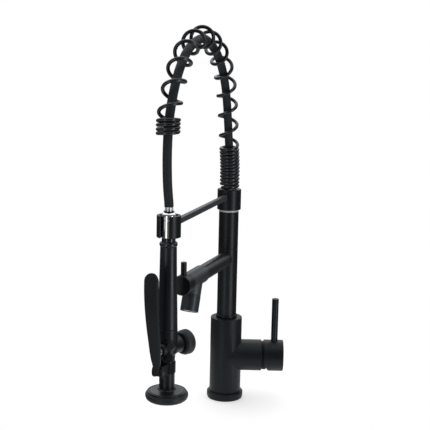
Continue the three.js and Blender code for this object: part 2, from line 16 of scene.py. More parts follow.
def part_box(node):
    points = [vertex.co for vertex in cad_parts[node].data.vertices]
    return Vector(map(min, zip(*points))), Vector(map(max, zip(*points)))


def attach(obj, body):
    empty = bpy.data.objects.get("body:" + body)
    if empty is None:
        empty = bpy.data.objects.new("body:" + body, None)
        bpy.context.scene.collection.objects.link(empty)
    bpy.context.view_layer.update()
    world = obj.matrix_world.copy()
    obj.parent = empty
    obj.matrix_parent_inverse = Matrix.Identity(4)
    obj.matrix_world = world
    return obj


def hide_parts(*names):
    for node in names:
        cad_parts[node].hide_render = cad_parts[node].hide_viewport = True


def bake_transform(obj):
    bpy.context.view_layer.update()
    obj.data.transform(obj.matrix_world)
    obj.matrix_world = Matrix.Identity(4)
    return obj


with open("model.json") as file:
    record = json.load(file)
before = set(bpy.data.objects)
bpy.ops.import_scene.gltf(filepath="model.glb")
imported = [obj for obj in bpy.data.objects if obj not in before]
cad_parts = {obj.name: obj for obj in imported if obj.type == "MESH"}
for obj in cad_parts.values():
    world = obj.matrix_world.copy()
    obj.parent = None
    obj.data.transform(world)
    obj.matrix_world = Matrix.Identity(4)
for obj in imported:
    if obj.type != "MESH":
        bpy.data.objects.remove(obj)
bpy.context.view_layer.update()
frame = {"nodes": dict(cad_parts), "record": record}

MM = 0.001
TAU = 2 * math.pi


# ---- places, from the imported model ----
def centre(node):
    """The middle of a CAD node's box, in millimetres."""
    low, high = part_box(node)
    return (low + high) / (2 * MM)


def span(node):
    """A CAD node's lowest and highest z, in millimetres."""
    low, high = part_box(node)
    return low.z / MM, high.z / MM


def turned_to(angle, x=0.0, y=0.0):
    return Matrix.Translation((x, y, 0)) @ Matrix.Rotation(angle, 4, "Z")


SIDEWAYS = Matrix.Rotation(math.pi / 2, 4, "Y")  # local +Z to +X
WAND_X, WAND_Y, _ = centre("hose_connector")
REACH = math.hypot(WAND_X, WAND_Y)
ARM = turned_to(math.atan2(WAND_Y, WAND_X))
PIN_X, PIN_Y, LEVER_PIVOT_Z = centre("hinge_pin")
LEVER_PIVOT_R = math.hypot(PIN_X - WAND_X, PIN_Y - WAND_Y)
WAND = turned_to(math.atan2(PIN_Y - WAND_Y, PIN_X - WAND_X), WAND_X, WAND_Y)
HINGE = WAND @ Matrix.Translation((LEVER_PIVOT_R, 0, LEVER_PIVOT_Z)) @ Matrix.Rotation(math.pi / 2, 4, "X")
PIN_HOLE_R = 2.3  # in the bracket and the paddle, around the hinge pin
VALVE_Z = centre("bonnet_ring").z
VALVE = Matrix.Translation((0, 0, VALVE_Z)) @ SIDEWAYS
SPOUT_Z = centre("spout_tube").z
SPOUT = ARM @ Matrix.Translation((0, 0, SPOUT_Z)) @ SIDEWAYS
NOZZLE_AT = 146.0
NOZZLE_TILT = math.radians(22)
NOZZLE = SPOUT @ Matrix.Translation((0, 0, NOZZLE_AT)) @ Matrix.Rotation(math.pi / 2 - NOZZLE_TILT, 4, "Y")
SPRAY_VALVE_Z = centre("valve_plunger").z
SPRAY_VALVE = WAND @ Matrix.Translation((0, 0, SPRAY_VALVE_Z)) @ SIDEWAYS


def outward(turn, z):
    """A horizontal axis out of the wand, turned in degrees from the lever's direction."""
    return WAND @ Matrix.Translation((0, 0, z)) @ Matrix.Rotation(math.radians(turn), 4, "Z") @ SIDEWAYS


SIDE_NECK = outward(159, 156)


# ---- camera ----
IMAGE = 430  # the frame's width and height
FOCAL = 981.7  # focal length in widths of one image point
CAMERA_AT = Vector((-0.02175, -1.5236, 0.5756))
CAMERA_DOWN = math.radians(10.284)
CAMERA_ROLL = math.radians(1.207)


def make_camera():
    data = bpy.data.cameras.new("camera")
    data.sensor_width = 36.0
    data.lens = FOCAL / IMAGE * data.sensor_width
    data.clip_start, data.clip_end = 0.05, 50.0
    camera = bpy.data.objects.new("camera", data)
    bpy.context.scene.collection.objects.link(camera)
    aim = Matrix.Rotation(math.pi / 2 - CAMERA_DOWN, 4, "X") @ Matrix.Rotation(CAMERA_ROLL, 4, "Z")
    camera.matrix_world = Matrix.Translation(CAMERA_AT) @ aim
    bpy.context.scene.camera = camera


make_camera()


# ---- shape helpers ----
def solid(verts, faces, at=None, uvs=None):
    """A closed mesh object from millimetre points."""
    mesh = bpy.data.meshes.new("solid")
    place = Matrix.Scale(MM, 4) @ (at or Matrix.Identity(4))
    mesh.from_pydata([place @ Vector(v) for v in verts], [], faces)
    if uvs:
        layer = mesh.uv_layers.new(name="UVMap")
        for loop in mesh.loops:
            layer.data[loop.index].uv = uvs[loop.vertex_index]
    bm = bmesh.new()
    bm.from_mesh(mesh)
    bmesh.ops.recalc_face_normals(bm, faces=bm.faces)
    bm.to_mesh(mesh)
    bm.free()
    made = bpy.data.objects.new("solid", mesh)
    bpy.context.scene.collection.objects.link(made)
    return made


def rounded(points, closed):
    """An outline whose corners (a, b, fillet) are replaced by arcs of that radius."""
    line = []
    for i, (a, b, *fillet) in enumerate(points):
        corner = Vector((a, b))
        if not fillet or (not closed and i in (0, len(points) - 1)):
            line.append(corner)
            continue
        back = Vector(points[i - 1][:2]) - corner
        on = Vector(points[(i + 1) % len(points)][:2]) - corner
        half = back.angle(on) / 2
        reach = min(fillet[0] / math.tan(half), 0.49 * back.length, 0.49 * on.length)
        back.normalize()
        on.normalize()
        radius = reach * math.tan(half)
        middle = corner + (back + on).normalized() * (radius / math.sin(half))
        start, end = corner + back * reach - middle, corner + on * reach - middle
        turn = math.pi - 2 * half
        steps = max(2, math.ceil(turn / math.radians(18)))
        for k in range(steps + 1):
            t = k / steps
            line.append(middle + (start * math.sin((1 - t) * turn) + end * math.sin(t * turn)) / math.sin(turn))
    return line


def lathe(points, at=None, sides=96, ripple=None):
    """Turns (radius, height, fillet) points about local Z. ripple(angle, r, z) adds to the radius."""
    closed = not (points[0][0] == 0 and points[-1][0] == 0)
    line = rounded(points, closed)
    verts, uvs, rings = [], [], []
    along = 0.0
    for i, (r, z) in enumerate(line):
        along += (line[i] - line[i - 1]).length if i else 0.0
        ring = []
        for k in range(sides if r > 1e-6 else 1):
            angle = TAU * k / sides
            radius = r + (ripple(angle, r, z) if ripple and r > 1e-6 else 0.0)
            ring.append(len(verts))
            verts.append((radius * math.cos(angle), radius * math.sin(angle), z))
            uvs.append((k / sides, along / 10))
        rings.append(ring)
    faces = []
    for low, high in zip(rings, rings[1:] + (rings[:1] if closed else [])):
        for k in range(sides):
            j = (k + 1) % sides
            corners = [low[k % len(low)], low[j % len(low)], high[j % len(high)], high[k % len(high)]]
            face = list(dict.fromkeys(corners))
            if len(face) > 2:
                faces.append(face)
    return solid(verts, faces, at, uvs)


def ring(inner, outer, z0, z1, fillet=0.4, at=None, sides=96):
    """A tube with eased outer edges."""
    return lathe([(inner, z0), (outer, z0, fillet), (outer, z1, fillet), (inner, z1)], at, sides)


def rod(r, z0, z1, at=None, sides=64):
    return lathe([(0, z0), (r, z0), (r, z1), (0, z1)], at, sides)


def prism(outline, half, at=None):
    """An outline in local X and Z, from local Y -half to +half."""
    line = rounded(outline, True)
    n = len(line)
    verts = [(x, side * half, z) for side in (-1, 1) for x, z in line]
    faces = [list(range(n)), list(range(2 * n - 1, n - 1, -1))]
    faces += [[i, (i + 1) % n, n + (i + 1) % n, n + i] for i in range(n)]
    return solid(verts, faces, at)


def tube(path, radius, sides=16, at=None, round_ends=True):
    """A round section swept along a line of points, with its length in the UVs."""
    stations = [(p, radius) for p in path]
    if round_ends:
        first, last = (path[0] - path[1]).normalized(), (path[-1] - path[-2]).normalized()
        caps = [(math.sin(a), math.cos(a)) for a in (math.pi / 6, math.pi / 3, 1.48)]
        stations = [(path[0] + first * radius * s * 0.6, radius * c) for s, c in reversed(caps)] + stations
        stations += [(path[-1] + last * radius * s * 0.6, radius * c) for s, c in caps]
    verts, uvs, faces = [], [], []
    normal = (path[1] - path[0]).orthogonal().normalized()
    along = 0.0
    for i, (p, r) in enumerate(stations):
        after = stations[min(i + 1, len(stations) - 1)][0]
        before = stations[max(i - 1, 0)][0]
        tangent = (after - before).normalized()
        normal = (normal - tangent * normal.dot(tangent)).normalized()
        other = tangent.cross(normal)
        along += (p - before).length if i else 0.0
        for k in range(sides + 1):
            angle = TAU * k / sides
            verts.append(p + (normal * math.cos(angle) + other * math.sin(angle)) * r)
            uvs.append((k / sides, along / (TAU * radius)))
    row = sides + 1
    for i in range(len(stations) - 1):
        faces += [[i * row + k, i * row + k + 1, (i + 1) * row + k + 1, (i + 1) * row + k] for k in range(sides)]
    faces.append(list(range(sides))[::-1])
    faces.append([(len(stations) - 1) * row + k for k in range(sides)])
    made = solid(verts, faces, at, uvs)
    bm = bmesh.new()
    bm.from_mesh(made.data)
    bmesh.ops.remove_doubles(bm, verts=bm.verts, dist=1e-7)
    bmesh.ops.recalc_face_normals(bm, faces=bm.faces)
    bm.to_mesh(made.data)
    bm.free()
    return made


def combined(base, tools, operation):
    for tool in tools:
        step = base.modifiers.new("step", "BOOLEAN")
        step.operation = operation
        step.solver = "EXACT"
        step.object = tool
    return applied(base, tools)


def applied(base, tools=()):
    """Fixes base's modifiers into its mesh and removes the tools."""
    evaluated = base.evaluated_get(bpy.context.evaluated_depsgraph_get())
    mesh = bpy.data.meshes.new_from_object(evaluated)
    base.modifiers.clear()
    base.data = mesh
    for tool in tools:
        bpy.data.objects.remove(tool)
    return base


def united(base, *tools):
    return combined(base, tools, "UNION")


def cut(base, *tools):
    return combined(base, tools, "DIFFERENCE")


def eased(base, width, segments=2, angle=38):
    """Softens a solid's sharp edges."""
    bevel = base.modifiers.new("ease", "BEVEL")
    bevel.width = width * MM
    bevel.segments = segments
    bevel.limit_method = "ANGLE"
    bevel.angle_limit = math.radians(angle)
    bevel.miter_outer = "MITER_ARC"
    return applied(base)


def gathered(*parts):
    """One mesh object that holds several."""
    with bpy.context.temp_override(active_object=parts[0], selected_editable_objects=list(parts)):
        bpy.ops.object.join()
    return parts[0]


def piece(made, name, body, material, nodes=(), sharp=32):
    """Names a solid, shades it, and puts it on its body in place of its CAD nodes."""
    made.name = name
    made.data.name = name
    made.data.materials.clear()
    made.data.materials.append(material)
    made.data.shade_smooth()
    made.data.set_sharp_from_angle(angle=math.radians(sharp))
    weighted = made.modifiers.new("weighted", "WEIGHTED_NORMAL")
    weighted.keep_sharp = True
    weighted.weight = 60
    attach(made, body)
    if nodes:
        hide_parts(*nodes)
    return made


# ---- material helpers ----
COOL = (0.86, 0.97, 1.06, 1.0)  # the faint blue of the black finishes' reflections


class Finish:
    """A Principled material under construction."""

    def __init__(self, name, colour, roughness, metallic=0.0, **sockets):
        self.material = bpy.data.materials.new(name)
        self.material.use_nodes = True
        self.tree = self.material.node_tree
        self.shader = self.tree.nodes["Principled BSDF"]
        self.set(self.shader, "Base Color", (*colour, 1.0))
        self.set(self.shader, "Roughness", roughness)
        self.set(self.shader, "Metallic", metallic)
        for socket, value in sockets.items():
            self.set(self.shader, socket.replace("_", " "), value)
        self.place = self.tree.nodes.new("ShaderNodeTexCoord")
        self.bumps = None

    def set(self, node, socket, value):
        if isinstance(value, bpy.types.NodeSocket):
            self.tree.links.new(value, node.inputs[socket])
        else:
            node.inputs[socket].default_value = value

    def math(self, operation, *values):
        node = self.tree.nodes.new("ShaderNodeMath")
        node.operation = operation
        for i, value in enumerate(values):
            self.set(node, i, value)
        return node.outputs[0]

    def noise(self, scale, detail=3.0, roughness=0.5, stretch=None):
        node = self.tree.nodes.new("ShaderNodeTexNoise")
        source = self.place.outputs["Object"]
        if stretch:
            mapping = self.tree.nodes.new("ShaderNodeMapping")
            self.set(mapping, "Vector", source)
            self.set(mapping, "Scale", stretch)
            source = mapping.outputs[0]
        self.set(node, "Vector", source)
        self.set(node, "Scale", scale)
        self.set(node, "Detail", detail)
        self.set(node, "Roughness", roughness)
        return node.outputs["Fac"]

    def uv(self):
        """The U and V of a turned or swept piece."""
        node = self.tree.nodes.new("ShaderNodeSeparateXYZ")
        self.set(node, 0, self.place.outputs["UV"])
        return node.outputs[0], node.outputs[1]

    def spread(self, value, low, high, start=0.3, end=0.7):
        """A value from start..end mapped to low..high, as a number or a colour."""
        ramp = self.tree.nodes.new("ShaderNodeValToRGB")
        as_colour = isinstance(low, tuple)
        ramp.color_ramp.elements[0].position = start
        ramp.color_ramp.elements[1].position = end
        ramp.color_ramp.elements[0].color = (*low, 1.0) if as_colour else (low, low, low, 1.0)
        ramp.color_ramp.elements[1].color = (*high, 1.0) if as_colour else (high, high, high, 1.0)
        self.set(ramp, "Fac", value)
        return ramp.outputs["Color"]

    def blend(self, factor, a, b):
        node = self.tree.nodes.new("ShaderNodeMix")
        node.data_type = "RGBA"
        self.set(node, 0, factor)
        self.set(node, 6, a)
        self.set(node, 7, b)
        return node.outputs[2]

    def bump(self, height, strength, distance):
        """Adds relief; distance is in millimetres."""
        node = self.tree.nodes.new("ShaderNodeBump")
        self.set(node, "Strength", strength)
        self.set(node, "Distance", distance * MM)
        self.set(node, "Height", height)
        if self.bumps:
            self.set(node, "Normal", self.bumps)
        self.bumps = node.outputs[0]
        self.set(self.shader, "Normal", self.bumps)

    def colour(self, value):
        self.set(self.shader, "Base Color", value)

    def roughness(self, value):
        self.set(self.shader, "Roughness", value)

    def edges(self):
        """How convex the surface is, from 0 to 1 along its outer edges."""
        node = self.tree.nodes.new("ShaderNodeNewGeometry")
        return self.spread(node.outputs["Pointiness"], 0.0, 1.0, 0.52, 0.62)


def powder_black(name, tone=0.0045, rough=0.36, grain=0.10, shine=0.32):
    """Matte black powder coat: a fine satin grain, slight mottling, and thinner, lighter edges."""
    f = Finish(name, (tone, tone, tone), rough, Specular_IOR_Level=shine, Specular_Tint=COOL)
    mottle = f.noise(55, 5.0, 0.6)
    coat = f.spread(mottle, (tone * 0.72, tone * 0.85, tone * 0.96), (tone * 0.94, tone * 1.12, tone * 1.26))
    f.colour(f.blend(f.edges(), coat, (tone * 1.9, tone * 2.1, tone * 2.25, 1.0)))
    f.roughness(f.spread(f.noise(16, 4.0, 0.55), rough - 0.05, rough + 0.06, 0.35, 0.65))
    f.bump(f.noise(1500, 2.0, 0.5), grain, 0.12)
    f.bump(f.noise(260, 2.0, 0.5), grain * 0.5, 0.1)
    return f.material


def hose_sleeve():
    """A fine over-and-under braid of black strands round the hose, its colour darkened in the hollows of the weave
    as painted shade.
    """
    f = Finish("hose_sleeve", (0.015, 0.017, 0.019), 0.62, Sheen_Weight=0.06, Sheen_Roughness=0.5,
               Specular_IOR_Level=0.3, Specular_Tint=COOL)
    u, v = f.uv()
    strands = 28.0
    left = f.math("SINE", f.math("MULTIPLY", f.math("ADD", u, v), TAU * strands / 2))
    right = f.math("SINE", f.math("MULTIPLY", f.math("SUBTRACT", u, v), TAU * strands / 2))
    weave = f.math("MULTIPLY", left, right)
    level = f.math("MULTIPLY_ADD", weave, 0.5, 0.5)
    # Painted shade: the braid's colour runs from near black in the hollows of the weave to lighter on the crossing
    # strands
    strand_and_hollow_shade = f.spread(level, (0.004, 0.005, 0.006), (0.017, 0.020, 0.022), 0.15, 0.85)
    dust = f.spread(f.noise(900, 3.0, 0.6), (0.75, 0.75, 0.75), (1.25, 1.25, 1.25))
    mixed = f.tree.nodes.new("ShaderNodeMix")
    mixed.data_type = "RGBA"
    mixed.blend_type = "MULTIPLY"
    f.set(mixed, 0, 1.0)
    f.set(mixed, 6, strand_and_hollow_shade)
    f.set(mixed, 7, dust)
    f.colour(mixed.outputs[2])
    f.roughness(f.spread(level, 0.72, 0.5, 0.2, 0.8))
    f.bump(level, 0.5, 0.25)
    f.bump(f.noise(2600, 2.0, 0.5), 0.15, 0.1)
    return f.material


def polished_chrome():
    """Mirror chrome with faint handling haze."""
    f = Finish("polished_chrome", (0.86, 0.87, 0.88), 0.06, 1.0)
    haze = f.noise(45, 5.0, 0.6)
    f.roughness(f.spread(haze, 0.035, 0.11, 0.4, 0.75))
    f.colour(f.spread(haze, (0.84, 0.85, 0.86), (0.90, 0.91, 0.92)))
    f.bump(f.noise(220, 2.0, 0.4), 0.02, 0.05)
    return f.material


def turned_metal(name, light, dark, rough, lines=38.0):
    """Machined metal with fine turning rings along a turned piece's outline."""
    f = Finish(name, light, rough, 1.0)
    _, v = f.uv()
    rings = f.math("SINE", f.math("MULTIPLY", v, TAU * lines))
    wobble = f.noise(90, 4.0, 0.6)
    f.colour(f.spread(wobble, dark, light))
    f.roughness(f.spread(f.noise(400, 3.0, 0.5, (1, 1, 6)), rough - 0.08, rough + 0.1))
    f.bump(rings, 0.12, 0.03)
    f.bump(wobble, 0.05, 0.1)
    return f.material


def black_rubber(name="rubber_black", tone=0.01, rough=0.6):
    """Moulded rubber with a pebbled skin and a little bloom."""
    f = Finish(name, (tone, tone, tone), rough, Sheen_Weight=0.04, Sheen_Roughness=0.6, Specular_IOR_Level=0.35,
               Specular_Tint=COOL)
    bloom = f.noise(40, 5.0, 0.6)
    f.colour(f.spread(bloom, (tone * 0.72, tone * 0.84, tone * 0.92), (tone * 1.14, tone * 1.33, tone * 1.46)))
    f.roughness(f.spread(bloom, rough - 0.06, rough + 0.08))
    f.bump(f.noise(1100, 2.0, 0.5), 0.2, 0.12)
    return f.material


def moulded(name, tone, rough, coat=0.0):
    """Light moulded plastic or fired ceramic, slightly cloudy."""
    f = Finish(name, tone, rough, Coat_Weight=coat, Subsurface_Weight=0.03)
    cloud = f.noise(120, 4.0, 0.6)
    f.colour(f.spread(cloud, tuple(0.93 * c for c in tone), tuple(min(1.0, 1.05 * c) for c in tone)))
    f.roughness(f.spread(cloud, rough - 0.06, rough + 0.08))
    f.bump(f.noise(900, 2.0, 0.5), 0.06, 0.08)
    return f.material


BLACK = powder_black("powder_black")
BODY_BLACK = powder_black("body_black", rough=0.46, shine=0.25)
# Painted light: a lighter copy of the powder coat for the grip (tone 0.007 against 0.0045), standing in for the
# brighter light on the wand; its lower roughness and higher shine are surface settings
PAINTED_LIGHT_WAND_BLACK = powder_black("painted_light_wand_black", tone=0.007, rough=0.34, shine=0.42)
# Painted shade: a darker, duller copy of the same powder coat, for the bonnet in the gap behind the cap and for the
# lever bracket
PAINTED_SHADE_BLACK = powder_black("painted_shade_black", tone=0.0025, rough=0.5, shine=0.14)
# Painted light: a lighter copy of the same powder coat for the spout's valve and nozzle and the arm bar, standing
# in for the brighter light these parts catch
PAINTED_LIGHT_BLACK = powder_black("painted_light_black", tone=0.029, rough=0.42, shine=0.45)
SPRING_BLACK = powder_black("spring_black", rough=0.24, grain=0.05, shine=0.55)
HOSE = hose_sleeve()
CHROME = polished_chrome()
STEEL = turned_metal("turned_steel", (0.62, 0.63, 0.64), (0.46, 0.47, 0.49), 0.3)
DARK_STEEL = turned_metal("blackened_steel", (0.07, 0.078, 0.085), (0.03, 0.034, 0.038), 0.35)
BRASS = turned_metal("turned_brass", (0.66, 0.47, 0.2), (0.5, 0.34, 0.13), 0.32)
RUBBER = black_rubber(tone=0.008)
RIM_RUBBER = black_rubber("rim_rubber", tone=0.009, rough=0.5)
CAP_RUBBER = black_rubber("cap_rubber", tone=0.005, rough=0.44)
NYLON = moulded("natural_nylon", (0.72, 0.72, 0.69), 0.45)
BRIGHT_RING = moulded("bright_ring", (0.55, 0.56, 0.57), 0.3, 0.2)
CERAMIC = moulded("cartridge_white", (0.78, 0.75, 0.68), 0.25, 0.5)


# ---- lines for swept pieces ----
def route(points, per_span=40):
    """A centripetal Catmull-Rom line through (distance along the arm, height) points."""
    knots = [Vector((x, 0.0, z)) for x, z in points]
    knots = [2 * knots[0] - knots[1], *knots, 2 * knots[-1] - knots[-2]]
    line = []
    for p0, p1, p2, p3 in zip(knots, knots[1:], knots[2:], knots[3:]):
        d0, d1, d2 = ((b - a).length ** 0.5 for a, b in ((p0, p1), (p1, p2), (p2, p3)))
        m1 = ((p1 - p0) / d0 - (p2 - p0) / (d0 + d1) + (p2 - p1) / d1) * d1
        m2 = ((p2 - p1) / d1 - (p3 - p1) / (d1 + d2) + (p3 - p2) / d2) * d1
        for k in range(per_span):
            t = k / per_span
            line.append(p1 + m1 * t + (3 * (p2 - p1) - 2 * m1 - m2) * t ** 2 + (2 * (p1 - p2) + m1 + m2) * t ** 3)
    line.append(knots[-2])
    return line


class Measured:
    """A line of points read by distance along it."""

    def __init__(self, line):
        self.line = line
        self.at = [0.0]
        for a, b in zip(line, line[1:]):
            self.at.append(self.at[-1] + (b - a).length)
        self.length = self.at[-1]

    def point(self, distance):
        distance = min(max(distance, 0.0), self.length)
        i = min(bisect.bisect_right(self.at, distance), len(self.line) - 1)
        t = (distance - self.at[i - 1]) / (self.at[i] - self.at[i - 1])
        return self.line[i - 1].lerp(self.line[i], t)

    def tangent(self, distance):
        return (self.point(distance + 0.5) - self.point(distance - 0.5)).normalized()


# ---- spray hose, the first piece ----
HOSE_LINE = [(0, 360.3), (0, 372), (1.8, 388), (5.5, 405), (10, 428), (15.5, 455), (22.5, 483), (33.5, 510),
             (51.5, 535.5), (78.5, 557), (124, 572.5), (164.5, 566), (193.5, 551), (216, 529.5), (232, 505),
             (243, 480.5), (248.5, 462), (251, 445), (252.3, 425), (252, 403), (249.8, 380), (246.6, 364),
             (244.6, 355.5), (244.2, 351)]
HOSE_R = 6.3
HOSE_STEPS = 320


def make_hose():
    centreline = Measured(route(HOSE_LINE))
    path = [centreline.point(centreline.length * k / HOSE_STEPS) for k in range(HOSE_STEPS + 1)]
    hose = tube(path, HOSE_R, 28, ARM, round_ends=False)
    hose.name = hose.data.name = "braided_spray_hose"
    hose.data.materials.append(HOSE)
    hose.data.shade_smooth()
    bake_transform(hose)
    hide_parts("spray_hose")


make_hose()

# ---- support spring ----
SPRING_LINE = [(0, 344.6), (0, 372), (1.6, 388), (5, 405), (9, 428), (14, 455), (20.5, 484), (31, 512), (49, 538),
               (77, 559.6), (124, 575.3), (166, 569), (196, 554), (219, 532), (235, 507), (245.5, 482),
               (249.5, 468), (250.4, 448)]
WIRE_R = 2.6
CLOSE_PITCH, END_PITCH = 5.65, 5.4
CLOSE_START, CLOSE_END = 64.0, 22.0  # close-wound lengths at the collar and at the wand's side
OPEN_TURNS = 12.67
COIL_START = math.radians(320)
STEPS_PER_TURN = 30


def make_spring():
    centreline = Measured(route(SPRING_LINE))
    open_length = centreline.length - CLOSE_START - CLOSE_END
    start_turns, end_turns = CLOSE_START / CLOSE_PITCH, CLOSE_END / END_PITCH
    turns = start_turns + OPEN_TURNS + end_turns
    across = Vector((0, 1, 0))
    path = []
    for k in range(round(turns * STEPS_PER_TURN) + 1):
        turn = min(k / STEPS_PER_TURN, turns)
        past = turn - start_turns
        if past < 0:
            distance = turn * CLOSE_PITCH
        elif past < OPEN_TURNS:
            distance = CLOSE_START + open_length * past / OPEN_TURNS
        else:
            distance = CLOSE_START + open_length + (past - OPEN_TURNS) * END_PITCH
        inward = across.cross(centreline.tangent(distance))
        angle = TAU * turn + COIL_START
        r = 12.9 + 0.9 * min(1.0, max(0.0, past / 3))
        path.append(centreline.point(distance) + (inward * math.cos(angle) + across * math.sin(angle)) * r)
    piece(tube(path, WIRE_R, 14, ARM), "coiled_support_spring", "docking_arm", SPRING_BLACK, ["support_spring"],
          sharp=60)


make_spring()


# ---- base and deck hardware ----
def helix_thread(r, pitch, z0, z1, depth, bore, sides=72):
    """A tube with an outside screw thread."""
    rows = round((z1 - z0) / pitch * 6)
    verts, faces = [], []
    for i in range(rows + 1):
        z = z0 + (z1 - z0) * i / rows
        fade = min(1.0, (z - z0) / pitch, (z1 - z) / pitch)
        for k in range(sides):
            phase = (z / pitch - k / sides) % 1.0
            radius = r - depth + depth * (1 - abs(2 * phase - 1)) * fade
            angle = TAU * k / sides
            verts.append((radius * math.cos(angle), radius * math.sin(angle), z))
    for z in (z1, z0):
        verts += [(bore * math.cos(TAU * k / sides), bore * math.sin(TAU * k / sides), z) for k in range(sides)]
    rings = [list(range(i * sides, (i + 1) * sides)) for i in range(rows + 3)]
    for low, high in zip(rings, rings[1:] + rings[:1]):
        faces += [[low[k], low[(k + 1) % sides], high[(k + 1) % sides], high[k]] for k in range(sides)]
    return solid(verts, faces)


def make_base():
    low, high = span("deck_gasket")
    piece(ring(18.2, 28, low, high, 0.3), "deck_seal", "base", RUBBER, ["deck_gasket"])
    low, high = span("base_flange")
    flange = lathe([(18.2, low), (28.2, low, 0.5), (29, low + 1.3, 0.8), (29, high - 2, 1.2), (27.4, high, 1.0),
                    (18.2, high)])
    piece(flange, "round_flange", "base", BODY_BLACK, ["base_flange"])
    low, high = span("mounting_shank")
    piece(helix_thread(16, 1.5, low, high, 0.9, 12.5), "threaded_shank", "base", BRASS, ["mounting_shank"])
    low, high = span("rubber_washer")
    piece(ring(16.6, 27, low, high, 0.5), "under_deck_washer", "base", RUBBER, ["rubber_washer"])
    low, high = span("mounting_plate")
    piece(ring(16.6, 27, low, high, 0.3), "under_deck_plate", "base", STEEL, ["mounting_plate"])
    low, high = span("mounting_nut")
    hexagon = lathe([(0, low), (24, low), (24, high), (0, high)], sides=6)
    chamfered = lathe([(0, low - 1), (20.6, low - 1), (24.6, low + 2.4), (24.6, high - 2.4), (20.6, high + 1),
                       (0, high + 1)])
    nut = cut(combined(hexagon, [chamfered], "INTERSECT"), rod(16.6, low - 1, high + 1))
    piece(eased(nut, 0.4), "hexagon_nut", "base", BRASS, ["mounting_nut"])
    low, high = span("inlet_manifold")
    plug = rod(12.1, low, high)
    ports = [rod(4.2, low - 1, high + 1, Matrix.Translation((x, 0, 0))) for x in (-5.8, 5.8)]
    piece(eased(cut(plug, *ports), 0.3), "two_port_inlet", "base", BRASS, ["inlet_manifold"])


def make_body():
    low, high = span("faucet_body")
    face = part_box("faucet_body")[1].x / MM
    column = lathe([(0, low), (25, low, 0.5), (25, high, 0.9), (0, high)], sides=128)
    housing = lathe([(0, 0), (24.9, 0), (24.9, face, 0.7), (0, face)], VALVE, 128)
    bore = lathe([(0, low - 1), (16.4, low - 1), (16.4, 24.4), (13, 24.4), (13, 100.3), (15.9, 100.3),
                  (15.9, high + 1), (0, high + 1)])
    body = cut(united(column, housing), bore, rod(18.2, 14, face + 1, VALVE))
    piece(eased(body, 0.45, 3), "valve_body", "base", BODY_BLACK, ["faucet_body"])
    low, high = span("swivel_washer")
    washer = ring(10.8, 16.7, low, high, 1.0)
    piece(washer, "column_foot_ring", "base", BLACK, ["swivel_washer"])


def make_side_valve():
    start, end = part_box("bonnet_ring")[0].x / MM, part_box("bonnet_ring")[1].x / MM
    tilt_x, radius = 62.0, 23.0
    zone = [(math.sqrt(radius ** 2 - (x - tilt_x) ** 2), x)
            for x in (start + (end - start) * k / 8 for k in range(9))]
    bonnet = lathe([(14, start), *zone, (14, end)], VALVE)
    # The bonnet wears the darker copy of the powder coat: painted shade for the gap between body and cap
    piece(bonnet, "bonnet", "base", PAINTED_SHADE_BLACK, ["bonnet_ring"])

    start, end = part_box("handle_cap")[0].x / MM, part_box("handle_cap")[1].x / MM
    cap = lathe([(0, start), (25, start, 0.4), (25, end, 1.3), (0, end)], VALVE, 128)
    hollow_r, hollow_end = 23.4, 74.5
    dome = [(math.sqrt(hollow_r ** 2 - (x - tilt_x) ** 2), x)
            for x in (tilt_x + (hollow_end - tilt_x) * k / 8 for k in range(9))]
    hollow = lathe([(0, start - 1), (hollow_r, start - 1), *dome, (0, hollow_end)], VALVE)
    level = Matrix.Translation((0, 0, VALVE_Z))
    relief = prism([(60, -6), (61, -8), (71, -26.5), (60, -26.5)], 27, level)
    pin_at = centre("handle_lever").x
    socket = rod(5.7, 22, 27, level @ Matrix.Translation((pin_at, 0, 0)))
    cap = cut(cap, hollow, relief, socket)
    piece(eased(cap, 0.35), "mixer_cap", "mixer_handle", BODY_BLACK, ["handle_cap"])
    low, shoulder, high = VALVE_Z + 14, VALVE_Z + 22.3, span("handle_lever")[1]
    pin = lathe([(0, low), (3, low), (3, shoulder), (5.35, shoulder, 0.2), (5.35, high, 0.9), (0, high)],
                Matrix.Translation((pin_at, 0, 0)), 64)
    piece(pin, "mixer_pin", "mixer_handle", BLACK, ["handle_lever"])


# ---- column, pot filler ----
def make_column():
    low, high = span("lower_column")
    column = lathe([(12.9, low), (15.5, low, 0.3), (15.5, high, 0.25), (12.9, high)])
    inner, outer = 12.6, 117.7
    spout = lathe([(8.5, inner), (11.75, inner), (11.75, outer, 0.3), (8.5, outer)], SPOUT)
    bore = rod(8.5, 5, 20, SPOUT)
    core = rod(12.9, low + 1, high - 1)
    filler = eased(united(cut(column, bore), cut(spout, core)), 0.5, 3)
    piece(filler, "pot_filler_column", "pot_filler", BLACK, ["lower_column", "spout_tube"])
    low, high = span("upper_column")
    piece(lathe([(12.9, low), (15.5, low, 0.25), (15.5, high, 0.3), (12.9, high)]), "column_top", "base", BLACK,
          ["upper_column"])
    low, high = span("glide_ring")
    piece(ring(10.8, 15.2, low, high, 0.3), "bright_glide_ring", "base", BRIGHT_RING, ["glide_ring"])


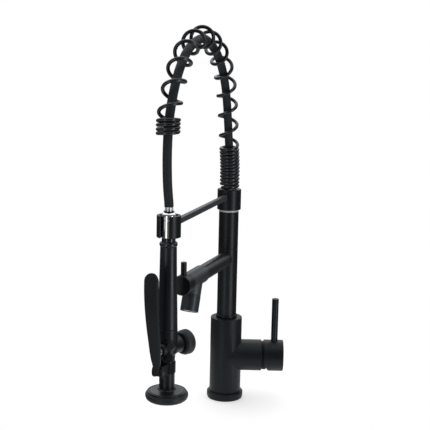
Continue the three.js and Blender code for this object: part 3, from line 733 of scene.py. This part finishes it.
def make_pot_filler_valve():
    start, end = 118.0, 176.5
    shell = lathe([(0, start), (13.2, start, 0.5), (13.2, end, 0.9), (0, end)], SPOUT)
    boss = lathe([(0, 0), (13.1, 0), (13.1, 25, 0.4), (0, 25)], NOZZLE)
    body = united(shell, boss)
    body = cut(body, rod(9, start - 1, 160, SPOUT), rod(8.5, 0, 26, NOZZLE), rod(6, 159, end + 1, SPOUT))
    # The pot filler's valve body wears the lighter copy of the powder coat: painted light
    piece(eased(body, 0.4), "pot_filler_valve", "pot_filler", PAINTED_LIGHT_BLACK, ["spout_valve_body"])
    nozzle = lathe([(10.4, 25.3), (13.3, 25.3, 0.4), (13.3, 49, 0.8), (12.2, 49, 0.3), (11.4, 47.6), (10.4, 47.6)],
                   NOZZLE)
    # The nozzle wears the lighter copy of the powder coat: painted light
    piece(nozzle, "pot_filler_nozzle", "pot_filler", PAINTED_LIGHT_BLACK, ["spout_nozzle"])
    rings = [lathe([(r, 45.5), (r + 0.7, 45.5), (r + 0.7, 48, 0.2), (r, 48, 0.2)], NOZZLE, 48)
             for r in (1.6, 4.2, 6.8, 9.4)]
    rib = [(0.5, 46), (9.8, 46), (9.8, 47.8), (0.5, 47.8)]
    ribs = [prism(rib, 0.3, NOZZLE @ Matrix.Rotation(TAU * k / 12, 4, "Z")) for k in range(12)]
    insert = gathered(rod(10.1, 41, 45.6, NOZZLE), *rings, *ribs)
    piece(insert, "aerator_insert", "pot_filler", NYLON, ["aerator"])

    start, end = 177.0, 197.0
    knob = lathe([(0, start), (14.4, start, 0.7), (14.4, end, 1.1), (0, end)], SPOUT)
    upright = SPOUT @ Matrix.Translation((0, 0, 187.5)) @ Matrix.Rotation(-math.pi / 2, 4, "Y")
    knob = cut(knob, rod(4.6, 11.8, 17, upright), rod(6, start - 1, 184.3, SPOUT))
    piece(eased(knob, 0.3), "pot_filler_knob", "spout_handle", BLACK, ["spout_knob"])
    pin = lathe([(0, 8), (2, 8), (2, 12.2), (4.2, 12.2, 0.2), (4.2, 32.5, 0.8), (0, 32.5)], upright, 64)
    piece(pin, "pot_filler_pin", "spout_handle", BLACK, ["spout_pin"])


# ---- docking arm ----
def make_docking_arm():
    low, high = span("holder_collar")
    collar = lathe([(10.9, low), (18.6, low, 1.0), (18.6, high, 0.8), (10.9, high)], ARM)
    piece(collar, "arm_collar", "docking_arm", BLACK, ["holder_collar"])
    clip_low, clip_high = span("holder_clip")
    clip_at = ARM @ Matrix.Translation((REACH, 0, 0))
    clip = lathe([(12.3, clip_low, 0.5), (16.5, clip_low, 0.8), (16.5, clip_high, 0.8), (12.3, clip_high, 0.9)],
                 clip_at)
    slot_low, slot_high, half_slot = clip_low - 5, clip_high + 5, 6.75
    slot = prism([(5, slot_low), (20, slot_low), (20, slot_high), (5, slot_high)], half_slot, clip_at)
    piece(eased(cut(clip, slot), 0.5, 3), "docking_clip", "docking_arm", BLACK, ["holder_clip"])
    z0, z1, half_height, half_width = 330.6, 325.0, 4.0, 3.5
    fall = (z1 - z0) / REACH
    start, end = 18.2, REACH - 16.1
    corners = (start, -1), (end, -1), (end, 1), (start, 1)
    outline = [(x, z0 + fall * x + side * half_height) for x, side in corners]
    bar = eased(prism(outline, half_width, ARM), 0.6, 3)
    # The arm bar wears the lighter copy of the powder coat: painted light
    piece(bar, "arm_bar", "docking_arm", PAINTED_LIGHT_BLACK, ["holder_arm"])


# ---- spray wand ----
def make_connector():
    low, high = span("hose_connector")
    dome_foot, neck = 334.5, 6.6
    dome = [(neck + (10.9 - neck) * math.cos(a), dome_foot + (high - dome_foot) * math.sin(a))
            for a in (k * math.pi / 16 for k in range(1, 8))]
    connector = lathe([(4, low), (10.9, low, 0.4), (10.9, 332.6, 0.2), (10.3, 332.9), (10.3, 333.7),
                       (10.9, 334.0, 0.2), (10.9, dome_foot), *dome, (neck, high), (4, high)], WAND)
    piece(connector, "chrome_connector", "wand_carrier", CHROME, ["hose_connector"])
    low, high = span("hose_nut")
    piece(ring(3.6, 7.3, low, high, 0.4, WAND), "hose_seat", "wand_carrier", BLACK, ["hose_nut"])
    low, high = span("hose_ferrule")
    crimps = [(5.9 if k % 2 else 5.55, low + 0.5 + (high - low - 1) * k / 8, 0.2) for k in range(9)]
    ferrule = lathe([(3.5, low), (5.7, low), *crimps, (5.7, high), (3.5, high)], WAND)
    piece(ferrule, "crimped_ferrule", "wand_carrier", CHROME, ["hose_ferrule"])


def make_wand():
    neck = lathe([(5, 297.3), (11.6, 297.3, 0.3), (12.3, 298.6, 0.8), (12.3, 301.2, 0.8), (11.2, 302.6, 0.5),
                  (9.4, 303.4, 0.8), (9.4, 309, 0.3), (5, 309)], WAND)
    piece(neck, "wand_neck", "spray_wand", SPRING_BLACK, ["wand_neck_ring"])
    low, high = span("wand_handle")
    handle = lathe([(9, low), (13.7, low, 0.5), (13.3, 205, 30), (12.7, 228, 40), (11.9, 260, 60),
                    (11.3, high - 0.6, 0.5), (10.9, high), (9, high)], WAND)
    # The grip wears the lighter copy of the powder coat: painted light
    piece(handle, "wand_grip", "spray_wand", PAINTED_LIGHT_WAND_BLACK, ["wand_handle"])
    top = low - 0.3
    upper = lathe([(0, 141.3), (11.2, 141.3, 0.4), (11.2, 145.4, 0.8), (13.1, 146.8, 1.5), (13.9, 148.8, 1.5),
                   (13.9, top, 0.5), (0, top)], WAND)
    boss = lathe([(0, 0), (8.5, 0), (8.5, 16.4, 0.6), (6.4, 19, 0.8), (0, 19)], SPRAY_VALVE)
    plug = lathe([(0, 8), (8.3, 8), (8.3, 14.8, 0.5), (5.2, 17, 0.8), (0, 17)],
                 outward(44, 161))
    pad = lathe([(0, 8), (8.2, 8), (8.2, 14.4, 0.6), (6.4, 14.8, 0.4), (5.6, 13.7), (3.4, 13.7), (3.0, 14.8, 0.4),
                 (0, 14.8)], outward(27, 143.8))
    neck_tube = lathe([(0, 0), (12, 0), (12, 20.2, 0.7), (10.2, 20.6, 0.2), (10.2, 22.5), (0, 22.5)], SIDE_NECK)
    body = united(upper, neck_tube, boss, plug, pad)
    body = cut(body, rod(7.1, -10.8, 8, SPRAY_VALVE), rod(4.4, 7, 20, SPRAY_VALVE), rod(6.5, 144, 184, WAND),
               rod(8, 15, 24, SIDE_NECK), rod(11.1, 130, 141.2, WAND))
    piece(eased(body, 0.4), "cross_valve", "spray_wand", BLACK, ["spray_valve_body"])

    def knurl(angle, r, z):
        grip = max(0.0, min(1.0, (r - 16.2) / 0.8))
        return 0.28 * grip * (math.cos(48 * angle) - 1) / 2

    cap = lathe([(0, 15.5), (7.6, 15.5), (7.6, 22.8), (10.4, 22.8), (14.6, 23.6, 0.5), (16.6, 26, 1.5),
                 (17.6, 29.4, 1.2), (17.6, 33), (17.6, 36.4, 1.2), (15.8, 38.6, 1.2), (13.2, 38.8, 1.0), (0, 38.8)],
                SIDE_NECK, 384, knurl)
    piece(cap, "knurled_valve_cap", "spray_wand", CAP_RUBBER, ["valve_cap"])


def make_valve_spring():
    """The return spring in the valve's bore, made as one fixed coil; the real one shortens as the plunger is
    pressed.
    """
    coils, radius, wire, low, high = 4, 5.6, 0.45, -9.9, 1.6
    steps = coils * 40
    path = []
    for k in range(steps + 1):
        angle = TAU * coils * k / steps
        path.append(Vector((radius * math.cos(angle), radius * math.sin(angle), low + (high - low) * k / steps)))
    spring = tube(path, wire, 10, SPRAY_VALVE)
    spring.name = spring.data.name = "valve_return_spring"
    spring.data.materials.append(STEEL)
    spring.data.shade_smooth()
    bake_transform(spring)
    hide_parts("valve_spring")


def make_hinge():
    def ear(side, tip):
        outline = [(8, 118.5), (20, 118.3, 6), (tip - 4, 118.6, 8), (tip, 123, 6), (tip, 131, 6),
                   (tip - 4, 135.2, 6), (20, 135.2, 2), (8, 135.2)]
        return prism(outline, 1.3, WAND @ Matrix.Translation((0, side * 6.5, 0)))

    band = lathe([(11.1, 119.5), (11.9, 119.5, 0.3), (11.9, 134.6, 0.3), (11.1, 134.6)], WAND)
    bracket = cut(united(band, ear(-1, 29), ear(1, 31.4)), rod(11.1, 110, 145, WAND), rod(PIN_HOLE_R, -9, 9, HINGE))
    # The bracket wears the darker copy of the powder coat: painted shade
    piece(eased(bracket, 0.35), "lever_bracket", "spray_wand", PAINTED_SHADE_BLACK, ["hinge_bracket"])
    pin = lathe([(0, -8.6), (3.0, -8.6, 0.4), (3.3, -7.85), (2, -7.85), (2, 7.85), (3.3, 7.85), (3.0, 8.6, 0.4),
                 (0, 8.6)], HINGE, 48)
    slot = prism([(-4, 8.2), (4, 8.2), (4, 9), (-4, 9)], 0.4, HINGE)
    piece(cut(pin, slot), "pivot_screw", "spray_wand", DARK_STEEL, ["hinge_pin"])


def make_lever():
    """The paddle is a loft of rounded sections that follow its bow, its taper and its round top."""
    outer = Measured(route([(30.4, 123.5), (31.2, 134), (33.6, 147), (38, 173), (42.3, 197), (45.6, 222),
                            (47.2, 245), (46.8, 262), (45.6, 269)]))
    inner = Measured(route([(24, 123.5), (27.4, 134), (30.2, 147.5), (34.6, 173), (38.9, 197), (42.2, 222),
                            (43.8, 245), (43.4, 261), (42.4, 269)]))
    width = Measured(route([(4.9, 123.5), (5.2, 134), (7.5, 147), (9.2, 173), (10.2, 200), (10.8, 230),
                            (10.8, 257)]))
    top, crown, edge = 268.6, 11.6, 1.4

    def across_at(line, z):
        """The line's x where its height is z."""
        i = min(max(bisect.bisect_left([p.z for p in line.line], z), 1), len(line.line) - 1)
        a, b = line.line[i - 1], line.line[i]
        return a.x + (b.x - a.x) * (z - a.z) / (b.z - a.z)

    def section(z):
        shrink = 1.0
        half = across_at(width, min(z, 257))
        if z > top - crown:
            half *= math.sqrt(max(0.0, 1 - ((z - (top - crown)) / crown) ** 2))
        if z > top - edge:
            shrink = math.sqrt(max(0.0, 1 - ((z - (top - edge)) / edge) ** 2))
        a, b = across_at(inner, z), across_at(outer, z)
        middle, thick = (a + b) / 2, (b - a) / 2 * shrink
        points = []
        for k in range(32):
            c, s = math.cos(TAU * k / 32), math.sin(TAU * k / 32)
            y = math.copysign(abs(c) ** 0.35, c) * half
            x = math.copysign(abs(s) ** 0.45, s) * thick
            dish = 0.35 * (1 - (y / max(half, 0.1)) ** 2) * min(1.0, max(0.0, (z - 150) / 60))
            points.append((middle + x - dish, y, z))
        return points

    steps = 90
    heights = [123.5 + (top - crown - 123.5) * k / steps for k in range(steps)]
    heights += [top - crown + crown * math.sin(math.pi / 2 * k / 24) for k in range(24)] + [top - 0.004]
    verts = [p for z in heights for p in section(z)]
    faces = [[i * 32 + k, i * 32 + (k + 1) % 32, (i + 1) * 32 + (k + 1) % 32, (i + 1) * 32 + k]
             for i in range(len(heights) - 1) for k in range(32)]
    faces += [list(range(32)), [(len(heights) - 1) * 32 + k for k in range(32)]]
    paddle = solid(verts, faces, WAND)
    foot = eased(prism([(20.2, 127), (21.4, 122.2), (24.6, 120.9), (27.6, 121.3), (30.5, 124.2), (30.6, 129),
                        (26, 131.2), (21, 130)], 4.9, WAND), 0.6, 3)
    paddle, foot = (cut(part, rod(PIN_HOLE_R, -7, 7, HINGE)) for part in (paddle, foot))
    piece(gathered(paddle, foot), "squeeze_paddle", "trigger", BLACK, ["squeeze_lever"], sharp=50)


def make_spray_head():
    low, high = span("spray_stem")
    piece(ring(7, 10.8, low, high, 0.3, WAND), "wand_stem", "spray_wand", BLACK, ["spray_stem"])
    bell = lathe([(7.3, 88), (23.8, 88), (23.8, 91.2), (27, 91.2, 0.3), (27, 92.9, 0.6), (25.7, 93.5, 0.4),
                  (25.2, 92.8, 0.2), (24.5, 92.8, 0.2), (24.1, 93.6, 0.4), (13, 94.5, 1), (11.4, 96.5, 0.4),
                  (7.3, 96.5)], WAND, 128)
    piece(bell, "spray_bell_cover", "spray_wand", BLACK, ["spray_bell"])
    rim = lathe([(24.2, 90.9), (28.4, 90.9, 0.6), (29.8, 88.8, 1.5), (29.9, 85.6, 2), (28.6, 82.2, 1.5),
                 (26.2, 80.3, 1), (24, 80, 0.6), (22.4, 80.6, 0.5), (22.4, 83), (24.2, 83)], WAND, 128)
    piece(rim, "bell_bumper", "spray_wand", RIM_RUBBER, ["rubber_rim"])
    face = lathe([(0, 82), (21.6, 82, 0.4), (21.6, 83.6), (23.8, 83.6), (23.8, 86.5), (0, 86.5)], WAND)
    nub = [(0, 82.4), (1.5, 82.4), (1.15, 80.9, 0.2), (0.55, 80.7, 0.1), (0.5, 82), (0, 82)]
    nubs = []
    for count, radius in ((1, 0.0), (6, 6.2), (12, 11.4), (18, 16.6)):
        for k in range(count):
            at = WAND @ Matrix.Rotation(TAU * k / count, 4, "Z") @ Matrix.Translation((radius, 0, 0))
            nubs.append(lathe(nub, at, 20))
    piece(gathered(face, *nubs), "spray_plate", "spray_wand", RUBBER, ["spray_face"])


make_base()
make_body()
make_side_valve()
make_column()
make_pot_filler_valve()
make_docking_arm()
make_connector()
make_wand()
make_valve_spring()
make_hinge()
make_lever()
make_spray_head()

# ---- finishes of the CAD nodes that stay ----
KEPT = {
    "brass": BRASS, "steel": STEEL, "black_rubber": RUBBER, "nylon": NYLON, "cartridge_plastic": CERAMIC,
    "matte_black": BLACK, "chrome": CHROME, "light_ring": BRIGHT_RING, "hose_black": HOSE,
}
SLOT_OF = {part["node"]: part["material_slot"] for part in frame["record"]["subparts"]}
for name, node in frame["nodes"].items():
    node.data.materials.clear()
    node.data.materials.append(KEPT[SLOT_OF[name]])


# ---- floor, light and colour ----
def panel(name, place, aim, width, height, glow):
    """A lit rectangle that faces a point and is not seen by the camera."""
    data = bpy.data.lights.new(name, "AREA")
    data.shape = "RECTANGLE"
    data.size, data.size_y = width, height
    data.energy = math.pi * width * height * glow
    light = bpy.data.objects.new(name, data)
    bpy.context.scene.collection.objects.link(light)
    light.location = place
    light.rotation_mode = "QUATERNION"
    light.rotation_quaternion = (aim - place).to_track_quat("-Z", "Y")
    light.visible_camera = False


def beside(aim, bearing, distance, z):
    """A place at a bearing from the camera's side of a point, in degrees towards +X."""
    angle = math.radians(bearing)
    return Vector((aim.x + distance * math.sin(angle), aim.y - distance * math.cos(angle), z))


def make_floor():
    """A pale round table top with a faint glow of its own."""
    z, radius, sides = -0.0003, 0.25, 96
    mesh = bpy.data.meshes.new("floor")
    rim = [(radius * math.cos(TAU * k / sides), radius * math.sin(TAU * k / sides), z) for k in range(sides)]
    mesh.from_pydata(rim, [], [list(range(sides))])
    floor = bpy.data.objects.new("floor", mesh)
    bpy.context.scene.collection.objects.link(floor)
    f = Finish("pale_floor", (0.6, 0.6, 0.6), 0.95, Specular_IOR_Level=0.1, Emission_Color=(1.0, 1.0, 1.0, 1.0),
               Emission_Strength=0.5)
    f.colour(f.spread(f.noise(3, 2.0), (0.59, 0.59, 0.59), (0.61, 0.61, 0.61)))
    mesh.materials.append(f.material)


def make_world():
    """White behind the object; for its reflections a dark room with a glow high at the back."""
    world = bpy.data.worlds.new("studio")
    bpy.context.scene.world = world
    world.use_nodes = True
    nodes, links = world.node_tree.nodes, world.node_tree.links

    def ramp(source, low, high, start, end):
        node = nodes.new("ShaderNodeMapRange")
        node.interpolation_type = "SMOOTHSTEP"
        for socket, value in zip((1, 2, 3, 4), (start, end, low, high)):
            node.inputs[socket].default_value = value
        links.new(source, node.inputs[0])
        return node.outputs[0]

    def add(a, b, operation="ADD"):
        node = nodes.new("ShaderNodeMath")
        node.operation = operation
        links.new(a, node.inputs[0])
        links.new(b, node.inputs[1])
        return node.outputs[0]

    way = nodes.new("ShaderNodeSeparateXYZ")
    links.new(nodes.new("ShaderNodeTexCoord").outputs["Generated"], way.inputs[0])
    rise = way.outputs[2]
    depth = nodes.new("ShaderNodeMath")
    depth.operation = "MULTIPLY_ADD"
    links.new(way.outputs[1], depth.inputs[0])
    depth.inputs[1].default_value = 0.4
    links.new(rise, depth.inputs[2])
    dome = ramp(depth.outputs[0], 0.09, 1.4, 0.35, 0.9)
    table = ramp(rise, 0.5, 0.0, -0.8, -0.3)
    back = add(ramp(rise, 0.0, 0.32, 0.2, 0.32), ramp(way.outputs[1], 0.0, 1.0, 0.2, 0.8), "MULTIPLY")
    total = add(add(dome, table), back)
    seen = nodes.new("ShaderNodeMix")
    links.new(nodes.new("ShaderNodeLightPath").outputs["Is Camera Ray"], seen.inputs[0])
    links.new(total, seen.inputs[2])
    seen.inputs[3].default_value = 1.0
    links.new(seen.outputs[0], nodes["Background"].inputs["Color"])


make_floor()
make_world()
COLUMN_MIDDLE = Vector((0, 0, 0.28))
CLIP_MIDDLE = Vector((WAND_X, WAND_Y, 325)) * MM
panel("right_strip", beside(COLUMN_MIDDLE, 47, 1.5, 0.15), COLUMN_MIDDLE, 0.40, 1.7, 4.4)
panel("left_strip", beside(COLUMN_MIDDLE, -30, 1.5, 0.15), COLUMN_MIDDLE, 0.40, 1.7, 2.0)
panel("clip_card", beside(CLIP_MIDDLE, -75, 0.35, 0.33), CLIP_MIDDLE, 0.25, 0.16, 0.5)
bpy.context.scene.view_settings.view_transform = "Standard"
